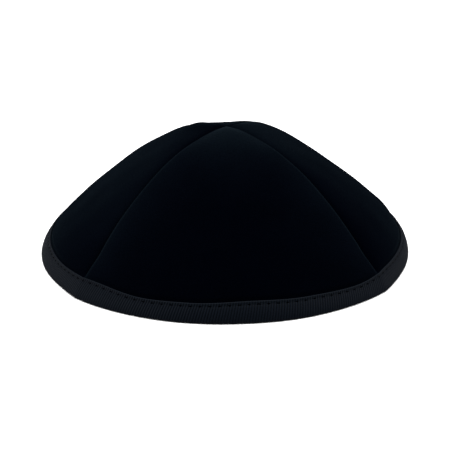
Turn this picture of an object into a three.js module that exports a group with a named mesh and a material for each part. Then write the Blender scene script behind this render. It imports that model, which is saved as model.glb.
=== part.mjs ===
// A velvet skullcap: four panels sewn edge to edge, with the rim bound in a folded ribbon.
// Millimetres, +Z up. The origin is in the middle of the rim, on the surface that the cap stands on.
// The front panel faces -Y, and +X is to its right when it is looked at.

import * as THREE from 'three';
import { mergeVertices } from 'three/addons/utils/BufferGeometryUtils.js';

// Crown
const rimReach = 86; // from the axis to the outside of a seam at the rim
const crownHeight = 54.6; // from the surface below to the top, before the seams draw it in
const clothThickness = 1.6; // pile, backing and stiffening together
const seamGap = 0.32; // between the edges of two panels
const seamDepth = 1.5; // how far the cloth dips into a seam
const seamSpread = 3.5; // how far from a seam the dip has faded to about a third

// Ribbon folded over the rim
const ribbonHeight = 7.4; // from the surface below to the ribbon's edge
const ribbonThickness = 1.0;
const ribbonProud = 0.3; // how far the ribbon stands above the velvet
const foldRadius = 1.5; // outside, where the ribbon turns under the rim
const seatClearance = 0.3; // between the ribbon and the cloth that it holds
const hemEase = 2.6; // height over which the cloth dips to go under the ribbon

// Sections of the crown from its top to its rim.
// along: share of the way down a panel; reach: share of rimReach, on a seam;
// height: share of crownHeight; squareness: 1 where a panel is flat from seam to seam, 0 where it is
// round about the axis.
const sections = [
  { along: 0, reach: 0, height: 1, squareness: 1 },
  { along: 0.15, reach: 0.262, height: 0.94, squareness: 1 },
  { along: 0.32, reach: 0.439, height: 0.833, squareness: 0.78 },
  { along: 0.5, reach: 0.634, height: 0.643, squareness: 0.48 },
  { along: 0.68, reach: 0.815, height: 0.398, squareness: 0.26 },
  { along: 0.84, reach: 0.931, height: 0.19, squareness: 0.11 },
  { along: 1, reach: 1, height: 0, squareness: 0.08 },
];

// Fineness of the meshes
const panelNames = ['panel_front', 'panel_right', 'panel_back', 'panel_left'];
const halfPanelColumns = 10; // from a panel's middle to its seam
const columnCrowding = 1.5; // above 1, columns crowd towards the seam
const crownRows = 14;
const easeRows = 3;
const hemRows = 3;
const foldSteps = 3; // in each rounded corner of the ribbon

const up = new THREE.Vector3(0, 0, 1);
const halfTurn = Math.PI / panelNames.length; // from a panel's middle to its seam

// The crown goes on past its top and its rim as a mirror image, so it is level at the top and upright
// at the rim.
const upwards = sections.slice().reverse();
const overTheTop = upwards.map((row) => ({ ...row, along: -row.along, reach: -row.reach }));
const pastTheRim = upwards.map((row) => ({ ...row, along: 2 - row.along, height: -row.height }));
const rows = [...overTheTop.slice(0, -1), ...sections, ...pastTheRim.slice(1)];
const profile = new THREE.CubicInterpolant(
  rows.map((row) => row.along),
  rows.flatMap((row) => [row.reach * rimReach, row.height * crownHeight, row.squareness]),
  3
);

function profileAt(along) {
  const [reach, height, squareness] = profile.evaluate(along);
  return { reach, height, squareness };
}

// Reach and height of the smooth crown at an angle from a panel's middle
function crownAt(along, turn) {
  const { reach, height, squareness } = profileAt(along);
  const flatReach = reach * Math.cos(halfTurn) / Math.cos(turn);
  return new THREE.Vector2(THREE.MathUtils.lerp(reach, flatReach, squareness), height);
}

// A point of the crown sunk straight in by a depth, with the front panel's middle at turn 0
function crownPoint(along, turn, depth) {
  const step = 0.001;
  const slope = crownAt(along + step, turn).sub(crownAt(along - step, turn)).normalize();
  const outward = new THREE.Vector2(-slope.y, slope.x);
  const { x: reach, y: height } = crownAt(along, turn).addScaledVector(outward, -depth);
  return new THREE.Vector3(reach * Math.sin(turn), -reach * Math.cos(turn), height);
}

// The share of the way down a panel at which the wall is this high
function alongAtHeight(height) {
  let above = 0;
  let below = 1;
  while (below - above > 1e-9) {
    const middle = (above + below) / 2;
    if (profileAt(middle).height > height) above = middle;
    else below = middle;
  }
  return below;
}

// Angle from a panel's middle to its sewn edge, which stands half the gap back from the seam
function edgeTurn(along) {
  return halfTurn - Math.asin(seamGap / 2 / profileAt(along).reach);
}

// How far the cloth lies under the smooth crown: it dips into the seams and under the ribbon
function clothDip(along, turn) {
  const { reach, height } = profileAt(along);
  const fromSeam = reach * Math.sin(halfTurn - Math.abs(turn));
  const seamDip = seamDepth * Math.exp(-fromSeam / seamSpread);
  const hemDip = ribbonThickness - ribbonProud + seatClearance;
  const open = THREE.MathUtils.smoothstep(height, ribbonHeight, ribbonHeight + hemEase);
  return THREE.MathUtils.lerp(hemDip, seamDip, open);
}

// A closed mesh through a list of loops with as many points each. A ring's last loop joins its first.
// Otherwise the first loop has closed to a line, and the last is capped from its two sides.
function loft(loops, isRing) {
  const size = loops[0].length;
  const corners = [];
  const quad = (a, b, c, d) => corners.push(a, b, c, a, c, d);
  const last = isRing ? loops.length : loops.length - 1;
  for (let i = 0; i < last; i++) {
    const here = i * size;
    const next = ((i + 1) % loops.length) * size;
    for (let j = 0; j < size; j++) {
      const k = (j + 1) % size;
      quad(here + j, next + j, next + k, here + k);
    }
  }
  if (!isRing) {
    const end = last * size;
    for (let j = 0; j < size / 2 - 1; j++) {
      quad(end + j, end + size - 1 - j, end + size - 2 - j, end + j + 1);
    }
  }
  const loose = new THREE.BufferGeometry().setFromPoints(loops.flat());
  loose.setIndex(corners);
  const geometry = mergeVertices(loose);
  const index = geometry.index.array;
  const kept = [];
  for (let i = 0; i < index.length; i += 3) {
    const [a, b, c] = index.slice(i, i + 3);
    if (a !== b && b !== c && c !== a) kept.push(a, b, c);
  }
  geometry.setIndex(kept);
  geometry.computeVertexNormals();
  return geometry;
}

// Evenly spaced values from start to end, both included
function spaced(start, end, steps) {
  return Array.from({ length: steps + 1 }, (_, i) => THREE.MathUtils.lerp(start, end, i / steps));
}

// Columns across a panel from its left edge to its right, as shares of the way from its middle to an
// edge. The ribbon has the same columns, so its facets lie along those of the cloth that it holds.
const columns = spaced(-1, 1, 2 * halfPanelColumns).map((share) => (
  Math.sign(share) * (1 - (1 - Math.abs(share)) ** columnCrowding)
));

// One gore of the crown: each row goes over its outside from left to right and back along its inside
function panelGeometry() {
  const tip = seamGap / Math.SQRT2 / rimReach * sections[1].along / sections[1].reach;
  const easeHeights = spaced(ribbonHeight + hemEase, ribbonHeight, easeRows);
  const hemHeights = spaced(ribbonHeight, ribbonThickness + seatClearance, hemRows);
  const shares = [
    ...spaced(tip, alongAtHeight(easeHeights[0]), crownRows),
    ...[...easeHeights.slice(1), ...hemHeights.slice(1)].map(alongAtHeight),
  ];
  const loops = shares.map((along, row) => {
    const reachOfEdge = row === 0 ? 0 : edgeTurn(along);
    const turns = columns.map((share) => share * reachOfEdge);
    const outside = turns.map((turn) => crownPoint(along, turn, clothDip(along, turn)));
    const inside = turns.map((turn) => crownPoint(along, turn, clothDip(along, turn) + clothThickness));
    return [...outside, ...inside.reverse()];
  });
  return loft(loops, false);
}

// The ribbon's section as heights and depths under the smooth crown: down, across and up the side that
// holds the cloth, then back from its inner edge round under the rim to its outer edge
function ribbonSection() {
  const outer = -ribbonProud;
  const seat = outer + ribbonThickness;
  const innerSeat = seat + seatClearance + clothThickness + seatClearance;
  const inner = innerSeat + ribbonThickness;
  const leg = (depth, foot) => spaced(ribbonHeight, foot, hemRows).map((height) => ({ height, depth }));
  const corner = (depth, side) => spaced(0, Math.PI / 2, foldSteps).slice(1).map((angle) => ({
    height: foldRadius * (1 - Math.sin(angle)),
    depth: depth + side * foldRadius * (1 - Math.cos(angle)),
  }));
  return [
    ...leg(seat, ribbonThickness),
    ...leg(innerSeat, ribbonThickness).reverse(),
    ...leg(inner, foldRadius),
    ...corner(inner, -1),
    ...corner(outer, 1).reverse(),
    ...leg(outer, foldRadius).reverse(),
  ].map(({ height, depth }) => ({ along: alongAtHeight(height), depth }));
}

function ribbonGeometry() {
  const section = ribbonSection();
  const loops = [];
  panelNames.forEach((_, panel) => {
    const heading = panel * 2 * halfTurn;
    for (const share of columns.slice(0, -1)) {
      const loop = section.map(({ along, depth }) => crownPoint(along, share * halfTurn, depth));
      loops.push(loop.map((point) => point.applyAxisAngle(up, heading)));
    }
  });
  return loft(loops, true);
}

function velvet() {
  return new THREE.MeshStandardMaterial({ color: 0x0a0d12, roughness: 0.95, metalness: 0 });
}

function grosgrain() {
  return new THREE.MeshStandardMaterial({ color: 0x13151a, roughness: 0.7, metalness: 0 });
}

const skullcap = new THREE.Group();

panelNames.forEach((name, panel) => {
  const mesh = new THREE.Mesh(panelGeometry(), velvet());
  mesh.name = name;
  mesh.rotation.z = panel * 2 * halfTurn;
  skullcap.add(mesh);
});

const binding = new THREE.Mesh(ribbonGeometry(), grosgrain());
binding.name = 'rim_binding';
skullcap.add(binding);

export default skullcap;
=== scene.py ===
import math
import bmesh
import bpy
import numpy as np
from mathutils import Matrix, Vector


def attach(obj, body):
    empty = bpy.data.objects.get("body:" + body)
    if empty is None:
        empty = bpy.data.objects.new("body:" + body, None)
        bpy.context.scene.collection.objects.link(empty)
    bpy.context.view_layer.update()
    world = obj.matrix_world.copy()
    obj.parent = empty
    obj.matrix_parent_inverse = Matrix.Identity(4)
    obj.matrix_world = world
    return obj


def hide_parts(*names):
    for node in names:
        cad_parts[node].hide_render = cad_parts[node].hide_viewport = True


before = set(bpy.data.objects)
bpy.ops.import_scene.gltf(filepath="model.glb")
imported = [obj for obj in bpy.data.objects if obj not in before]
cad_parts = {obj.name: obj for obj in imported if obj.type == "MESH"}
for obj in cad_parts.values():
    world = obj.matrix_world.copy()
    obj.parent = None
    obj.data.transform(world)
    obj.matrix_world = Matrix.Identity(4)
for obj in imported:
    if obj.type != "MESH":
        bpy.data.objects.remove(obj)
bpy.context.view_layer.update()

# Velvet skullcap of four gores with a ribbon folded over its rim, in metres.
# The front gore faces -Y, and a turn is counted from -Y towards +X. Along is the share of the way down a
# gore from the top to the rim. A depth goes from the smooth crown inwards.

mm = 0.001
goreTurn = math.pi / 2           # from the middle of a gore to the middle of the next
halfGore = goreTurn / 2          # from the middle of a gore to its seam
rng = np.random.default_rng(18)

crown = {
    "rimReach": 86.0 * mm,       # axis to a seam at the rim
    "height": 54.6 * mm,
    "topLean": 0.7 * mm,         # the top stands this far to the right of the rim's middle
    "leanPower": 1.5,            # how fast the lean fades on the way down
    "seamDepth": 2.0 * mm,       # how far the cloth dips into a seam
    "seamSpread": 5.2 * mm,
    "heldDip": 0.25,             # share of that dip that is left where the ribbon holds the cloth
    "creaseDepth": 0.9 * mm,     # the last fold into the stitches
    "creaseSpread": 0.4 * mm,
    "seamRoll": 0.3 * mm,        # the turned-in edges lift one gore at a seam and let the other down
    "rollSpread": 1.8 * mm,
    "seamOverlap": 0.04 * mm,    # sewing presses the edges into each other
    "cloth": 1.5 * mm,
    "hemDip": 0.5 * mm,          # how far the cloth sinks to pass under the ribbon
    "hemEase": 1.6 * mm,
    "hemClearance": 0.6 * mm,    # between the cloth's lower edge and the fold
    "looseEase": 9 * mm,         # height over the ribbon at which the cloth is free of it
    "allowance": 1.4 * mm,       # ridge of the turned-in edges inside
    "allowanceSpread": 2.2 * mm,
}

# along: share of the way down a gore, reach: share of rimReach on a seam, height: share of the height,
# squareness: 1 where the gore is flat from seam to seam, 0 where it is round
sections = np.array(
    [(0, 0, 1, 1), (0.15, 0.262, 0.94, 1), (0.32, 0.439, 0.833, 0.78), (0.5, 0.634, 0.643, 0.48),
     (0.68, 0.815, 0.398, 0.26), (0.84, 0.931, 0.19, 0.11), (1, 1, 0, 0.08)],
    dtype=[("along", float), ("reach", float), ("height", float), ("squareness", float)])
knots = np.concatenate([-sections["along"][:0:-1], sections["along"], 2 - sections["along"][-2::-1]])


def mirroredColumn(name, topSign, rimSign):
    # a column of the table carried on as a mirror image past the top and past the rim
    column = sections[name]
    return np.concatenate([topSign * column[:0:-1], column, rimSign * column[-2::-1]])


def curveThrough(values, at):
    # cubic between knots, whose slope at a knot is the mean of the two chords beside it
    chord = np.diff(values) / np.diff(knots)
    slope = np.zeros(len(knots))
    slope[1:-1] = (chord[:-1] + chord[1:]) / 2
    low = np.clip(np.searchsorted(knots, at, side="right") - 1, 1, len(knots) - 3)
    width = knots[low + 1] - knots[low]
    t = (at - knots[low]) / width
    return ((2 * t ** 3 - 3 * t ** 2 + 1) * values[low] + (t ** 3 - 2 * t ** 2 + t) * width * slope[low]
            + (3 * t ** 2 - 2 * t ** 3) * values[low + 1] + (t ** 3 - t ** 2) * width * slope[low + 1])


seamReach = mirroredColumn("reach", -1, 1) * crown["rimReach"]
seamHeight = mirroredColumn("height", 1, -1) * crown["height"]
squareness = mirroredColumn("squareness", 1, 1)
fineAlong = np.linspace(0.5, 1, 2001)        # the lower half of a gore in fine steps
fineHeight = curveThrough(seamHeight, fineAlong)


def alongAtHeight(height):
    # the share of the way down at which the lower half of the crown is this high
    return np.interp(-np.asarray(height, float), -fineHeight, fineAlong)


def smoothCrown(along, turn):
    # reach: between a round section and a square one, by the squareness; height: the same all round
    reach = curveThrough(seamReach, along)
    fromMiddle = (turn + halfGore) % goreTurn - halfGore
    flat = reach * math.cos(halfGore) / np.cos(fromMiddle)
    return reach + (flat - reach) * curveThrough(squareness, along), curveThrough(seamHeight, along)


def crownPoint(along, turn, depth):
    # a point of the smooth crown sunk by a depth along its normal in the upright plane through the axis,
    # then moved to the right by a lean that is greatest at the top
    step = 0.001
    reach, height = smoothCrown(along, turn)
    reachDown, heightDown = smoothCrown(along + step, turn)
    reachUp, heightUp = smoothCrown(along - step, turn)
    length = np.hypot(reachDown - reachUp, heightDown - heightUp)
    reach = reach + depth * (heightDown - heightUp) / length
    height = height - depth * (reachDown - reachUp) / length
    lean = crown["topLean"] * np.clip(1 - along, 0, 1) ** crown["leanPower"]
    return np.stack([reach * np.sin(turn) + lean, -reach * np.cos(turn), height], axis=-1)


def easeIn(x, low, high):
    # 0 below low, 1 above high and an S between them
    t = np.clip((x - low) / (high - low), 0, 1)
    return t * t * (3 - 2 * t)


def addPiece(name, vertices, faces, materials, slots=None):
    # a mesh object at the origin. The sum of the triangles' triple products is six times the volume inside,
    # and where that is negative the faces are turned round, so that they point outwards
    a, b, c, d = (vertices[faces[:, corner]] for corner in range(4))
    volume = (np.einsum("ij,ij->i", a, np.cross(b, c)) + np.einsum("ij,ij->i", a, np.cross(c, d))).sum()
    if volume < 0:
        faces = faces[:, ::-1]
    mesh = bpy.data.meshes.new(name)
    mesh.vertices.add(len(vertices))
    mesh.vertices.foreach_set("co", vertices.astype(np.float32).ravel())
    mesh.loops.add(faces.size)
    mesh.loops.foreach_set("vertex_index", faces.astype(np.int32).ravel())
    mesh.polygons.add(len(faces))
    mesh.polygons.foreach_set("loop_start", np.arange(len(faces), dtype=np.int32) * 4)
    mesh.polygons.foreach_set("use_smooth", np.ones(len(faces), bool))
    if slots is not None:
        mesh.polygons.foreach_set("material_index", slots.astype(np.int32))
    for material in materials:
        mesh.materials.append(material)
    mesh.update(calc_edges=True)
    mesh.validate()
    piece = bpy.data.objects.new(name, mesh)
    bpy.context.scene.collection.objects.link(piece)
    return piece


def addTone(piece, name, values):
    # a number at each point for the material to read
    tone = piece.data.attributes.new(name, "FLOAT", "POINT")
    tone.data.foreach_set("value", values.astype(np.float32).ravel())


def gridFaces(rows, columns, wrapRows, wrapColumns):
    # quads between neighbours on a grid of rows by columns, numbered row by row
    row = np.arange(rows if wrapRows else rows - 1)[:, None]
    column = np.arange(columns if wrapColumns else columns - 1)[None, :]
    nextRow = (row + 1) % rows
    nextColumn = (column + 1) % columns
    corners = [row * columns + column, nextRow * columns + column,
               nextRow * columns + nextColumn, row * columns + nextColumn]
    return np.stack(np.broadcast_arrays(*corners), axis=-1).reshape(-1, 4)


def mergeDoubles(piece, distance):
    # joins points closer than the distance and drops the faces that this closes
    work = bmesh.new()
    work.from_mesh(piece.data)
    bmesh.ops.remove_doubles(work, verts=work.verts, dist=distance)
    bmesh.ops.dissolve_degenerate(work, edges=work.edges, dist=distance)
    work.to_mesh(piece.data)
    work.free()


def setInputs(material, node, inputs):
    # an input is given as a value or as the socket that feeds it
    for name, value in inputs.items():
        if isinstance(value, bpy.types.NodeSocket):
            material.node_tree.links.new(value, node.inputs[name])
        else:
            node.inputs[name].default_value = value


def addNode(material, kind, inputs, **settings):
    node = material.node_tree.nodes.new("ShaderNode" + kind)
    for name, value in settings.items():
        setattr(node, name, value)
    setInputs(material, node, inputs)
    return node.outputs


def addTexture(material, kind, **inputs):
    # a texture laid through the piece's own coordinates
    place = addNode(material, "TexCoord", {})["Object"]
    return addNode(material, kind, {"Vector": place, **inputs})


def addNoise(material, scale, detail):
    return addTexture(material, "TexNoise", Scale=scale, Detail=detail)["Fac"]


def addMath(material, operation, *values):
    return addNode(material, "Math", dict(enumerate(values)), operation=operation)["Value"]


def addTonePicker(material, name):
    return addNode(material, "Attribute", {}, attribute_name=name)["Fac"]


def addRamp(material, factor, low, high, span=(0, 1)):
    # a colour that goes from low to high while the factor crosses the span
    node = material.node_tree.nodes.new("ShaderNodeValToRGB")
    for element, position, color in zip(node.color_ramp.elements, span, (low, high)):
        element.position = position
        element.color = color
    setInputs(material, node, {"Fac": factor})
    return node.outputs["Color"]


def addMix(material, factor, low, high):
    return addNode(material, "Mix", {"Factor": factor, "A": low, "B": high}, data_type="RGBA")["Result"]


def addBump(material, height, strength, distance, **under):
    return addNode(material, "Bump", {"Height": height, "Strength": strength, "Distance": distance,
                                      **under})["Normal"]


def newMaterial(name, roughness, specular):
    material = bpy.data.materials.new(name)
    material.use_nodes = True
    shader = material.node_tree.nodes["Principled BSDF"]
    setInputs(material, shader, {"Roughness": roughness, "Specular IOR Level": specular})
    return material, shader


# Ribbon folded over the rim
ribbon = {
    "height": 6.9 * mm,          # floor to the ribbon's edge
    "thickness": 0.6 * mm,
    "proud": 0.3 * mm,           # over the velvet
    "foldRadius": 0.9 * mm,
    "inside": 2.9 * mm,          # depth of the inner leg's face under the smooth crown
    "ribs": 508,
    "ribDepth": 0.18 * mm,
    "ribLean": math.radians(16),
    "edgeRibs": 0.2,             # share of the ribs' depth that is left where the edge rolls
    "edgeRoll": 0.3 * mm,
    "backDrop": 0.3 * mm,        # the side against the cloth ends this far below the edge
    "landHeight": 0.1 * mm,      # points below this height lie on the floor
    "grooveShade": 0.25,          # painted shade: how much darker the ribbon is in the stitches' groove
    "foldLight": 0.35,           # how much lighter the gaps between ribs get towards the fold
    "foldLightPower": 1.5,
    "lightest": 1.4,             # limit of the tone, where 1 is a rib's crest
    "columnsPerRib": 6,
}

# The section's points. Legs are shares of the way down from under the rolled edge, crowded at the stitches,
# and the roll's two lists are shares of edgeRoll, down from the edge and back from the face
ribbonPoints = {
    "outerLeg": np.array([0, 0.06, 0.12, 0.19, 0.28, 0.5, 0.75, 1]),
    "innerLeg": np.array([0, 0.12, 0.28, 1]),
    "rollDown": np.array([0.0, 0.2, 0.6]),
    "rollBack": np.array([1.0, 0.4, 0.1]),
    "cornerSteps": 3,
}

# The ribbon isn't sewn on quite evenly. At some turns, in degrees: how much higher its edge runs, and how
# far its fold stands out, in mm
driftColumns = [("turn", float), ("drift", float)]
edgeDrift = np.array(
    [(-180, 0.0), (-120, 0.2), (-90, 0.3), (-60, 0.2), (-42, 0.85), (-24, -0.5), (-12, -0.25), (4, 0.4),
     (20, -0.2), (36, -0.75), (50, 0.4), (75, 0.25), (120, -0.2), (180, 0.0)], dtype=driftColumns)
foldDrift = np.array(
    [(-180, 0.15), (-135, 0.6), (-90, 0.5), (-66, 0.8), (-53, 0.4), (-40, 0.6), (-20, 0.4), (0, 0.1),
     (20, 0.7), (38, 0.8), (58, 0.05), (90, -0.45), (135, 0.4), (180, 0.15)], dtype=driftColumns)

stitches = {
    "pitch": 3.8 * mm,
    "length": 1.5 * mm,
    "thickness": 0.36 * mm,
    "belowEdge": 1.0 * mm,
    "groove": 0.2 * mm,          # how far the row pulls the ribbon in
    "grooveWidth": 0.4 * mm,
    "proud": 0.05 * mm,          # how far a thread's middle stands over the groove
    "dive": 0.28 * mm,           # how far its ends go down into the ribbon
    "stepsAlong": 8,
    "sides": 8,
    "merge": 0.002 * mm,         # closer points become one
}


def driftAt(table, turn):
    # a drift in metres, eased from one row of the table to the next
    degrees = (np.degrees(turn) + 180) % 360 - 180
    row = np.clip(np.searchsorted(table["turn"], degrees, side="right") - 1, 0, len(table) - 2)
    share = easeIn(degrees, table["turn"][row], table["turn"][row + 1])
    return mm * (table["drift"][row] + (table["drift"][row + 1] - table["drift"][row]) * share)


def ribbonEdge(turn):
    # height of the ribbon's edge: its even height and its drift
    return ribbon["height"] + driftAt(edgeDrift, turn)


def spreadOfFold(turn, height):
    # how far the ribbon stands out: the fold's drift times the square of an S that is 1 at the floor and 0
    # at the ribbon's edge
    return driftAt(foldDrift, turn) * (1 - easeIn(height, 0, ribbonEdge(turn))) ** 2


# Soft swellings and hollows of the crown: turn in degrees from the middle of the front gore, spread and
# rise in mm
puffs = np.array(
    [(0, 0, 6, -0.4), (0.16, 0, 10, 0.9), (0.16, 90, 10, 0.6), (0.16, -90, 10, 0.3), (0.1, 180, 8, -0.7),
     (0.11, -115, 8, 1.4), (0.12, 128, 9, 1.1), (0.33, 122, 11, 0.8), (0.52, -122, 14, 0.35),
     (0.76, 108, 22, 0.8), (0.84, 90, 10, 1.0)],
    dtype=[("along", float), ("turn", float), ("spread", float), ("rise", float)])

# Gentle unevenness of the cloth
waves = {
    "count": 26,
    "shortest": 16 * mm,
    "longest": 60 * mm,
    "rise": 0.15 * mm,
}
waveWay = rng.normal(size=(waves["count"], 3))
waveWay /= np.linalg.norm(waveWay, axis=1)[:, None]
waveLength = np.exp(rng.uniform(math.log(waves["shortest"]), math.log(waves["longest"]), waves["count"]))
wavePhase = rng.uniform(0, 2 * math.pi, waves["count"])


def unevenness(points):
    # the rise times a sum of plane sine waves over the root of their number, with seeded directions,
    # lengths and phases
    phase = points @ (waveWay * (2 * math.pi / waveLength)[:, None]).T + wavePhase
    return waves["rise"] * np.sin(phase).sum(axis=-1) / math.sqrt(waves["count"])


def puffed(points):
    # rise of the swellings at points of the smooth crown, each a bell by the distance from its centre
    centres = crownPoint(puffs["along"], np.radians(puffs["turn"]), 0)
    away = np.linalg.norm(points[..., None, :] - centres, axis=-1)
    return (mm * puffs["rise"] * np.exp(-(away / (mm * puffs["spread"])) ** 2)).sum(axis=-1)


def seamDip(fromSeam, lifted, loose):
    # depth of the cloth beside a seam: a wide dip and a narrow crease that fade exponentially with the
    # distance, and a bell for the roll of the turned-in edges. The ribbon holds the wide dip shallow
    held = crown["heldDip"] + (1 - crown["heldDip"]) * loose
    wide = crown["seamDepth"] * held * np.exp(-fromSeam / crown["seamSpread"])
    roll = crown["seamRoll"] * np.exp(-(fromSeam / crown["rollSpread"]) ** 2)
    crease = crown["creaseDepth"] * np.exp(-fromSeam / crown["creaseSpread"])
    return wide + crease + (-roll if lifted else roll)


# Where light and sheen are painted into the pile's colour, as shares of the most. A lifted gore lies over its
# neighbours at both seams
paintedLightSpots = {
    "tip": 0.7,                  # of the gore's own most
    "tipEnd": 0.12,              # along
    "bySeam": 0.4,
    "bySeamSpread": 12 * mm,
    "rimFade": 0.45,             # how much of that is lost on the way to the rim
    "fadeStart": 0.6,            # along
    "crest": 0.45,
    "crestSpread": 0.7 * mm,
    "crestStart": (0.05, 0.25),  # along, where the crest's painted highlight sets in
}


def paintedLightOnGore(along, fromSeam, lifted, own):
    # painted light and sheen: a bell down the gore. On a lifted gore painted sheen is added at the tip and
    # beside the seams, and a painted highlight on their crests
    paintedLight = own["most"] * np.exp(-((along - own["centre"]) / own["spread"]) ** 2)
    if not lifted:
        return paintedLight
    paintedLight = paintedLight + paintedLightSpots["tip"] * own["most"] * (1 - easeIn(along, 0, paintedLightSpots["tipEnd"]))
    kept = 1 - paintedLightSpots["rimFade"] * easeIn(along, paintedLightSpots["fadeStart"], 1)
    paintedLight = np.maximum(paintedLight, paintedLightSpots["bySeam"] * np.exp(-fromSeam / paintedLightSpots["bySeamSpread"]) * kept)
    crest = np.exp(-(fromSeam / paintedLightSpots["crestSpread"] - 1) ** 2) * easeIn(along, *paintedLightSpots["crestStart"])
    return paintedLight + paintedLightSpots["crest"] * crest


goreMesh = {
    "tip": 0.0015,               # along at the first row
    "rimZone": 10 * mm,          # below this height the rows are closer
    "hemZone": 5.6 * mm,         # below this height the ribbon hides the cloth
    "crownRows": 150,
    "rimRows": 20,
    "hemRows": 4,
    "halfColumns": 56,
    "crowding": 1.8,             # above 1, columns crowd towards the seams
    "merge": 0.0001 * mm,        # closer points become one
}


def goreRows():
    # along at each row from the tip to the hem
    rimZone, hemZone = goreMesh["rimZone"], goreMesh["hemZone"]
    hem = ribbon["thickness"] + crown["hemClearance"]
    return np.concatenate([
        np.linspace(goreMesh["tip"], alongAtHeight(rimZone), goreMesh["crownRows"]),
        alongAtHeight(np.linspace(rimZone, hemZone, goreMesh["rimRows"] + 1)[1:]),
        alongAtHeight(np.linspace(hemZone, hem, goreMesh["hemRows"] + 1)[1:])])


def clothSides(along, turn, fromSeam, lifted):
    # outside: the smooth crown sunk by its dip. Inside: deeper by the cloth and by the ridge of the turned-in
    # edges, a bell beside the seam. Under the ribbon the dip is even and the ridge fades
    height = curveThrough(seamHeight, along)
    edgeHeight = ribbonEdge(turn)
    free = easeIn(height, edgeHeight, edgeHeight + crown["hemEase"])
    loose = easeIn(height, edgeHeight, edgeHeight + crown["looseEase"])
    smooth = crownPoint(along, turn, 0)
    dip = seamDip(fromSeam, lifted, loose) - (unevenness(smooth) + puffed(smooth)) * loose
    dip = crown["hemDip"] + (dip - crown["hemDip"]) * free
    ridge = crown["allowance"] * np.exp(-(fromSeam / crown["allowanceSpread"]) ** 2) * free
    return crownPoint(along, turn, dip), crownPoint(along, turn, dip + crown["cloth"] + ridge)


def gore(name, heading, lifted, own, materials):
    # each row goes over the outside from left to right and back along the inside
    along = goreRows()[:, None]
    side = np.linspace(-1, 1, 2 * goreMesh["halfColumns"] + 1)
    across = np.sign(side) * (1 - (1 - np.abs(side)) ** goreMesh["crowding"])
    reach = curveThrough(seamReach, along)
    turn = across * (halfGore + np.arcsin(crown["seamOverlap"] / 2 / reach))
    along = np.broadcast_to(along, turn.shape)
    fromSeam = reach * np.sin(halfGore - np.abs(turn))
    outside, inside = clothSides(along, heading + turn, fromSeam, lifted)
    loops = np.concatenate([outside, inside[:, ::-1]], axis=1)
    rows, size = loops.shape[:2]
    loops[0, :size // 2] = outside[0].mean(axis=0)      # the tip closes to a point on each side
    loops[0, size // 2:] = inside[0].mean(axis=0)
    faces = gridFaces(rows, size, False, True)
    last = (rows - 1) * size
    step = np.arange(size // 2 - 1)
    hem = np.stack([last + step, last + size - 1 - step, last + size - 2 - step, last + step + 1], axis=-1)
    isInside = np.tile(np.arange(size) >= size // 2, rows - 1)
    slots = np.concatenate([isInside, np.zeros(len(hem), bool)])
    piece = addPiece(name, loops.reshape(-1, 3), np.concatenate([faces, hem]), materials, slots)
    # painted light and sheen on the outside of the gore, none on the inside
    paintedLight = paintedLightOnGore(along, fromSeam, lifted, own)
    addTone(piece, "paintedLight", np.concatenate([paintedLight, np.zeros_like(paintedLight)], axis=1))
    mergeDoubles(piece, goreMesh["merge"])
    return piece


def ribbonSection(top):
    # heights for each column's edge height, and depths: down the outer leg, round the fold's two corners, up
    # the inner leg, then back along the cloth through four corners
    outer, inner = -ribbon["proud"], ribbon["inside"]
    outerLeg, innerLeg = ribbonPoints["outerLeg"], ribbonPoints["innerLeg"]
    rollDown = ribbonPoints["rollDown"] * ribbon["edgeRoll"]
    rollBack = ribbonPoints["rollBack"] * ribbon["edgeRoll"]
    bend = np.linspace(0, math.pi / 2, ribbonPoints["cornerSteps"] + 1)[1:]
    cornerStep = ribbon["foldRadius"] * (1 - np.cos(bend))
    corner = np.broadcast_to(ribbon["foldRadius"] * (1 - np.sin(bend)), (len(top), len(bend)))
    legTop = top - ribbon["edgeRoll"]
    legDrop = ribbon["foldRadius"] - legTop
    backTop = top - ribbon["backDrop"]
    floorOfBack = np.full_like(top, ribbon["thickness"])
    heights = np.concatenate([
        top - rollDown, legTop + legDrop * outerLeg, corner, corner[:, ::-1],
        legTop + legDrop * innerLeg[::-1], top - rollDown[::-1],
        backTop, floorOfBack, floorOfBack, backTop], axis=1)
    depths = np.concatenate([
        outer + rollBack, np.full(len(outerLeg), outer), outer + cornerStep, inner - cornerStep[::-1],
        np.full(len(innerLeg), inner), inner - rollBack[::-1],
        [inner - ribbon["thickness"]] * 2, [outer + ribbon["thickness"]] * 2])
    return heights, depths


def leanOfRibs(heights, depths, skin):
    # how far the section's points turn back: the way along the skin from the outer edge, times the tangent
    # of the lean, over the reach. The points against the cloth share out the way back evenly
    steps = np.hypot(np.diff(heights[:, :skin].mean(axis=0)), np.diff(depths[:skin]))
    travelled = np.concatenate([[0], np.cumsum(steps)])
    shift = -travelled * math.tan(ribbon["ribLean"]) / crown["rimReach"]
    back = np.linspace(shift[-1], shift[0], len(depths) - skin + 2)[1:-1]
    return np.concatenate([shift, back])


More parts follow.
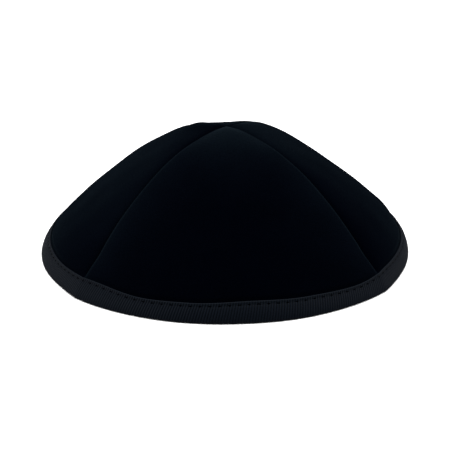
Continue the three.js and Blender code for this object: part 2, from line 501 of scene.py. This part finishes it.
def bindRim(name, material):
    # the section carried round the rim, its skin rippled by ribs that lean as they go up and drawn in along
    # the stitches. Lift is half the ribs' depth times a sine, less the groove, and points away from the skin
    count = ribbon["ribs"] * ribbon["columnsPerRib"]
    turn = np.arange(count) * (2 * math.pi / count)
    top = ribbonEdge(turn)[:, None]
    heights, depths = ribbonSection(top)
    size = len(depths)
    skin = size - 4              # the last four points lie against the cloth
    roll = len(ribbonPoints["rollDown"])
    outerSide = roll + len(ribbonPoints["outerLeg"]) + ribbonPoints["cornerSteps"]
    rib = np.zeros((count, size))
    rib[:, :skin] = np.sin(turn * ribbon["ribs"])[:, None]
    rib[:, [0, 1, skin - 2, skin - 1]] *= ribbon["edgeRibs"]     # the two points next to each edge
    groove = np.zeros((count, size))
    row = top - stitches["belowEdge"]
    groove[:, :skin] = np.exp(-((heights[:, :skin] - row) / stitches["grooveWidth"]) ** 2)
    lift = rib * ribbon["ribDepth"] / 2 - groove * stitches["groove"]
    lift[:, :outerSide] *= -1
    onFloor = heights < ribbon["landHeight"]
    lift[onFloor] = 0
    turns = turn[:, None] + leanOfRibs(heights, depths, skin)
    points = crownPoint(alongAtHeight(heights), turns, depths + lift - spreadOfFold(turns, heights))
    points[onFloor, 2] = 0
    piece = addPiece(name, points.reshape(-1, 3), gridFaces(count, size, True, True), [material])
    towardsFold = ribbon["foldLight"] * (1 - np.clip(heights / top, 0, 1)) ** ribbon["foldLightPower"]
    # painted shade in the gaps between ribs and in the stitches' groove, lighter towards the fold
    tone = (1 + rib) / 2 - ribbon["grooveShade"] * groove + towardsFold
    addTone(piece, "paintedRibShade", np.clip(tone, 0, ribbon["lightest"]))
    # painted highlight along the ribbon's rolled top edge, on both sides
    edge = np.zeros((count, size))
    edge[:, :roll] = 1
    edge[:, skin - roll:skin] = 1
    addTone(piece, "paintedEdgeHighlight", edge)
    return piece


def stitchRow(name, depth, side, material):
    # short threads end to end round the rim: each is a round section, thinner towards its ends, carried
    # along an arc that dives at its ends by the fourth power of the way from its middle
    count = int(round(2 * math.pi * crown["rimReach"] / stitches["pitch"]))
    centre = ((np.arange(count) + 0.5) * (2 * math.pi / count))[:, None, None]
    step = np.linspace(-1, 1, stitches["stepsAlong"] + 1)[None, :, None]
    ring = (np.arange(stitches["sides"]) * (2 * math.pi / stitches["sides"]))[None, None, :]
    thick = stitches["thickness"] / 2 * np.sqrt(np.clip(1 - step ** 6, 0, 1))
    turn = centre + step * stitches["length"] / 2 / crown["rimReach"]
    height = ribbonEdge(turn) - stitches["belowEdge"] + thick * np.sin(ring)
    out = thick * np.cos(ring) + stitches["proud"] - stitches["dive"] * step ** 4
    turn, height, out = np.broadcast_arrays(turn, height, out)
    points = crownPoint(alongAtHeight(height), turn, depth - side * out - spreadOfFold(turn, height))
    body = gridFaces(step.size, ring.size, False, True)
    faces = (body[None] + (np.arange(count) * step.size * ring.size)[:, None, None]).reshape(-1, 4)
    piece = addPiece(name, points.reshape(-1, 3), faces, [material])
    mergeDoubles(piece, stitches["merge"])
    return piece


# A look's bump is its strength and its distance
velvetLook = {
    "dark": (0.00005, 0.0001, 0.00045, 1),
    "light": (0.0001, 0.00025, 0.0008, 1),
    "paintedLightColor": (0.0017, 0.0029, 0.0042, 1),     # painted light from above and painted sheen on the pile
    "toneSpan": (0.45, 0.85),
    "sheen": 0.0095,
    "sheenTint": (0.55, 0.82, 1.0, 1),
    "sheenRoughness": 0.35,
    "pileScale": 2200.0,
    "pileDetail": 2,
    "pileBump": (0.5, 0.25 * mm),
    "napScale": 70.0,
    "napDetail": 4,
    "napBump": (0.2, 0.3 * mm),
    "napShare": 0.3,             # how far the nap moves the pile's tone
}


def makeVelvet():
    # fine pile and wide patches of nap, near black, with a sheen; paler where light and sheen are painted on
    # the gore
    material, shader = newMaterial("velvetPile", 1, 0)
    pile = addNoise(material, velvetLook["pileScale"], velvetLook["pileDetail"])
    nap = addNoise(material, velvetLook["napScale"], velvetLook["napDetail"])
    both = addMath(material, "MULTIPLY_ADD", nap, velvetLook["napShare"], pile)
    fresh = addRamp(material, both, velvetLook["dark"], velvetLook["light"], velvetLook["toneSpan"])
    # painted light and sheen, broken up by the pile's noise
    paintedLightMask = addMath(material, "MULTIPLY", addTonePicker(material, "paintedLight"), both)
    napBump = addBump(material, nap, *velvetLook["napBump"])
    setInputs(material, shader, {
        "Base Color": addMix(material, paintedLightMask, fresh, velvetLook["paintedLightColor"]),
        "Normal": addBump(material, pile, *velvetLook["pileBump"], Normal=napBump),
        "Sheen Weight": velvetLook["sheen"],
        "Sheen Roughness": velvetLook["sheenRoughness"],
        "Sheen Tint": velvetLook["sheenTint"],
    })
    return material


ribbonLook = {
    "gap": (0.00055, 0.001, 0.0017, 1),      # painted shade between two ribs
    "rib": (0.0013, 0.0021, 0.0036, 1),
    "edge": (0.002, 0.0029, 0.0043, 1),      # painted highlight on the ribbon's rolled edges
    "toneSpan": (0.3, 0.7),
    "yarnScale": 900.0,
    "yarnDetail": 3,
    "yarnBump": (0.3, 0.1 * mm),
    "yarnShare": 0.5,                        # how far the yarn's unevenness moves a rib's tone
    "specular": 0.011,
    "roughness": 0.55,
    "sheen": 0.0034,
    "sheenTint": (1.0, 0.82, 0.84, 1),
}


def makeRibbon():
    # tone from gap to rib by the painted shade of the ribs' gaps and the groove, and uneven yarn; the rolled
    # edge has a painted highlight
    material, shader = newMaterial("ribbonGrosgrain", ribbonLook["roughness"], ribbonLook["specular"])
    yarn = addNoise(material, ribbonLook["yarnScale"], ribbonLook["yarnDetail"])
    share = ribbonLook["yarnShare"]
    uneven = addMath(material, "MULTIPLY_ADD", yarn, share, -share / 2)
    tone = addMath(material, "ADD", addTonePicker(material, "paintedRibShade"), uneven)
    shadedRibs = addRamp(material, tone, ribbonLook["gap"], ribbonLook["rib"], ribbonLook["toneSpan"])
    # a painted highlight on the rolled edge
    edge = addTonePicker(material, "paintedEdgeHighlight")
    setInputs(material, shader, {
        "Base Color": addMix(material, edge, shadedRibs, ribbonLook["edge"]),
        "Normal": addBump(material, yarn, *ribbonLook["yarnBump"]),
        "Sheen Weight": ribbonLook["sheen"],
        "Sheen Tint": ribbonLook["sheenTint"],
    })
    return material


liningLook = {
    "thread": (0.004, 0.0045, 0.0055, 1),
    "between": (0.0015, 0.0018, 0.0022, 1),
    "weaveScale": 1800.0,
    "weaveBump": (0.3, 0.1 * mm),
    "roughness": 0.8,
    "specular": 0.05,
}


def makeLining():
    # the velvet's plain woven backing: cells that darken towards their edges
    material, shader = newMaterial("backingCloth", liningLook["roughness"], liningLook["specular"])
    weave = addTexture(material, "TexVoronoi", Scale=liningLook["weaveScale"])["Distance"]
    setInputs(material, shader, {
        "Base Color": addRamp(material, weave, liningLook["thread"], liningLook["between"]),
        "Normal": addBump(material, weave, *liningLook["weaveBump"]),
    })
    return material


threadLook = {
    "dark": (0.0001, 0.0001, 0.0002, 1),
    "light": (0.0004, 0.0005, 0.0008, 1),
    "twistScale": 3000.0,
    "twistDetail": 2,
    "roughness": 0.9,
}


def makeThread():
    # matt, its tone mottled by the twist
    material, shader = newMaterial("sewingThread", threadLook["roughness"], 0)
    twist = addNoise(material, threadLook["twistScale"], threadLook["twistDetail"])
    tone = addRamp(material, twist, threadLook["dark"], threadLook["light"])
    setInputs(material, shader, {"Base Color": tone})
    return material


velvet = makeVelvet()
grosgrain = makeRibbon()
lining = makeLining()
thread = makeThread()
print("materials made")

# node: the solid that the gore takes the place of. most, centre and spread: how much light and sheen is
# painted on it, and the middle and width of that along the gore
gores = [
    {"name": "velvetFront", "node": "panel_front", "most": 0.66, "centre": 0.08, "spread": 0.24},
    {"name": "velvetRight", "node": "panel_right", "most": 0.42, "centre": 0.08, "spread": 0.27},
    {"name": "velvetBack", "node": "panel_back", "most": 0.15, "centre": 0.08, "spread": 0.27},
    {"name": "velvetLeft", "node": "panel_left", "most": 0.22, "centre": 0.47, "spread": 0.3},
]
for place, own in enumerate(gores):
    lifted = place % 2 == 0
    piece = gore(own["name"], place * goreTurn, lifted, own, [velvet, lining])
    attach(piece, "root")
    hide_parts(own["node"])
print("gores made")

binding = bindRim("ribbonBinding", grosgrain)
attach(binding, "root")
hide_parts("rim_binding")
outerRow = stitchRow("stitchesOutside", stitches["groove"] - ribbon["proud"], 1, thread)
innerRow = stitchRow("stitchesInside", ribbon["inside"] - stitches["groove"], -1, thread)
for piece in (outerRow, innerRow):
    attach(piece, "root")
print("ribbon and stitches made")

view = {
    "size": 452,                 # the picture's side in pixels
    "pixelsPerReach": 180.86,    # of one rimReach at the origin's distance
    "distance": 3.832,           # in rimReach
    "originPixel": (225.57, 235.35),
    "elevation": math.radians(22.69),
    "turn": math.radians(-2.2),
    "roll": math.radians(-0.29),
    "sensor": 36,                # width in mm
    "nearest": 0.01,             # closer things aren't drawn
}


def placeCamera():
    # looks at the origin, with its frame shifted so that the origin falls on its pixel
    elevation, turn, roll = view["elevation"], view["turn"], view["roll"]
    back = np.array([math.sin(turn) * math.cos(elevation), -math.cos(turn) * math.cos(elevation),
                     math.sin(elevation)])
    level = np.array([math.cos(turn), math.sin(turn), 0])
    upright = np.cross(back, level)
    matrix = np.eye(4)
    matrix[:3, 0] = math.cos(roll) * level + math.sin(roll) * upright
    matrix[:3, 1] = math.cos(roll) * upright - math.sin(roll) * level
    matrix[:3, 2] = back
    matrix[:3, 3] = back * view["distance"] * crown["rimReach"]
    camera = bpy.data.cameras.new("camera")
    camera.sensor_width = view["sensor"]
    camera.lens = view["sensor"] * view["pixelsPerReach"] * view["distance"] / view["size"]
    camera.shift_x = (view["size"] / 2 - view["originPixel"][0]) / view["size"]
    camera.shift_y = (view["originPixel"][1] - view["size"] / 2) / view["size"]
    camera.clip_start = view["nearest"]
    holder = bpy.data.objects.new("camera", camera)
    holder.matrix_world = Matrix(matrix.tolist())
    bpy.context.scene.collection.objects.link(holder)
    bpy.context.scene.camera = holder


studio = {
    "sky": 0.4,                  # even light from all round
    "overhead": 8.5,             # wide soft light from above
    "overheadWidth": math.radians(60),
    "overheadLean": math.radians(8),         # towards the back
    "left": 22.0,
    "right": 18.0,
    "sideReach": 1.1,            # where the side lights stand, how wide they are and what they face
    "sideForward": 0.1,
    "sideHeight": 0.45,
    "sideSize": 0.7,
    "aim": (0, 0, 0.02),
    "floorTone": 0.5,
    "floorRoughness": 0.9,
    "floorReach": 4,
}


def addLight(name, kind, power):
    light = bpy.data.lights.new(name, kind)
    light.energy = power
    holder = bpy.data.objects.new(name, light)
    bpy.context.scene.collection.objects.link(holder)
    return holder


def sideLight(name, side, power):
    # a disk to the left or the right that faces the cap
    holder = addLight(name, "AREA", power)
    holder.data.shape = "DISK"
    holder.data.size = studio["sideSize"]
    place = Vector((side * studio["sideReach"], -studio["sideForward"], studio["sideHeight"]))
    holder.location = place
    holder.rotation_euler = (Vector(studio["aim"]) - place).to_track_quat("-Z", "Y").to_euler()


def lightStudio():
    world = bpy.data.worlds.new("studio")
    world.use_nodes = True
    sky = world.node_tree.nodes["Background"]
    sky.inputs["Color"].default_value = (1, 1, 1, 1)
    sky.inputs["Strength"].default_value = studio["sky"]
    bpy.context.scene.world = world
    overhead = addLight("softOverhead", "SUN", studio["overhead"])
    overhead.data.angle = studio["overheadWidth"]
    overhead.rotation_euler = (-studio["overheadLean"], 0, 0)
    sideLight("softLeft", -1, studio["left"])
    sideLight("softRight", 1, studio["right"])


def layFloor():
    reach = studio["floorReach"]
    mesh = bpy.data.meshes.new("floor")
    mesh.from_pydata([(-reach, -reach, 0), (reach, -reach, 0), (reach, reach, 0), (-reach, reach, 0)],
                     [], [(0, 1, 2, 3)])
    material, shader = newMaterial("paleFloor", studio["floorRoughness"], 0)
    setInputs(material, shader, {"Base Color": (studio["floorTone"],) * 3 + (1,)})
    mesh.materials.append(material)
    floor = bpy.data.objects.new("floor", mesh)
    bpy.context.scene.collection.objects.link(floor)


placeCamera()
lightStudio()
layFloor()
bpy.context.scene.view_settings.view_transform = "Standard"
print("studio made")
